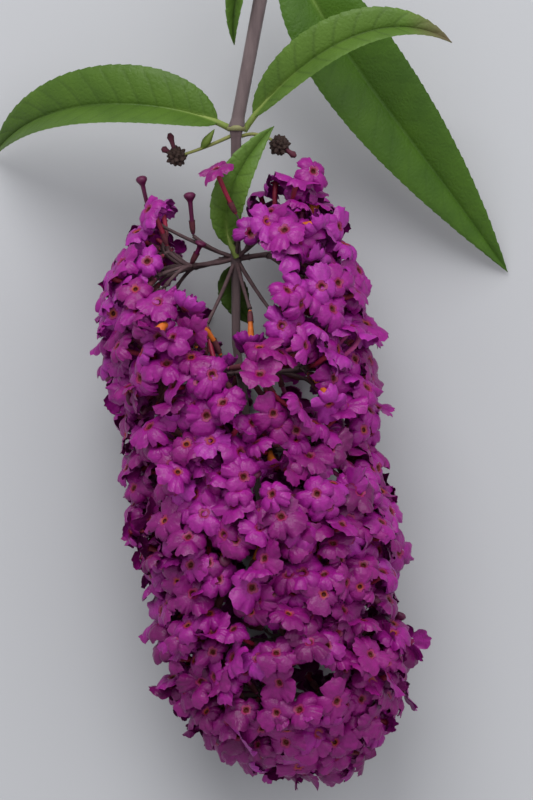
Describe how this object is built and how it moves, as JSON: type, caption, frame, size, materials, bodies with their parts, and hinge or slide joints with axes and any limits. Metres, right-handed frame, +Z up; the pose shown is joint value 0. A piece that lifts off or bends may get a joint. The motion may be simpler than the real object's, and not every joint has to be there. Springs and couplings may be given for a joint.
{
  "type": "cut flowering branch of butterfly bush",
  "caption": "Cut end of a butterfly bush branch with a long magenta flower head, a slender stem and toothed leaves, lying on its side.",
  "frame": {"origin": "middle of the underside, on the surface that the branch lies on", "axes": "+Y along the stem towards its cut end, +X to the right as the flower head is seen from above with the cut end up, +Z up"},
  "size_m": [0.1148, 0.195, 0.0588],
  "materials": {
    "stem": "matte brown-purple young bark with fine felt",
    "leaf": "matte green leaf with netted veins, paler below",
    "flower": "soft magenta-purple petals with an orange-red eye",
    "spent": "dry dark brown capsules"
  },
  "bodies": {
    "root": {"stem": "stem", "left_leaf": "leaf", "right_leaf": "leaf", "large_leaf": "leaf", "small_leaf": "leaf", "front_bract": "leaf", "back_bract": "leaf", "spent_cluster_left": "spent", "spent_cluster_right": "spent", "flowers_1_left": "flower", "flowers_1_right": "flower", "flowers_2_front": "flower", "flowers_2_back": "flower", "flowers_3_left": "flower", "flowers_3_right": "flower", "flowers_4_front": "flower", "flowers_4_back": "flower", "flowers_5_left": "flower", "flowers_5_right": "flower", "flowers_6_front": "flower", "flowers_6_back": "flower", "flowers_7_left": "flower", "flowers_7_right": "flower", "flowers_tip": "flower"}
  },
  "joints": []
}
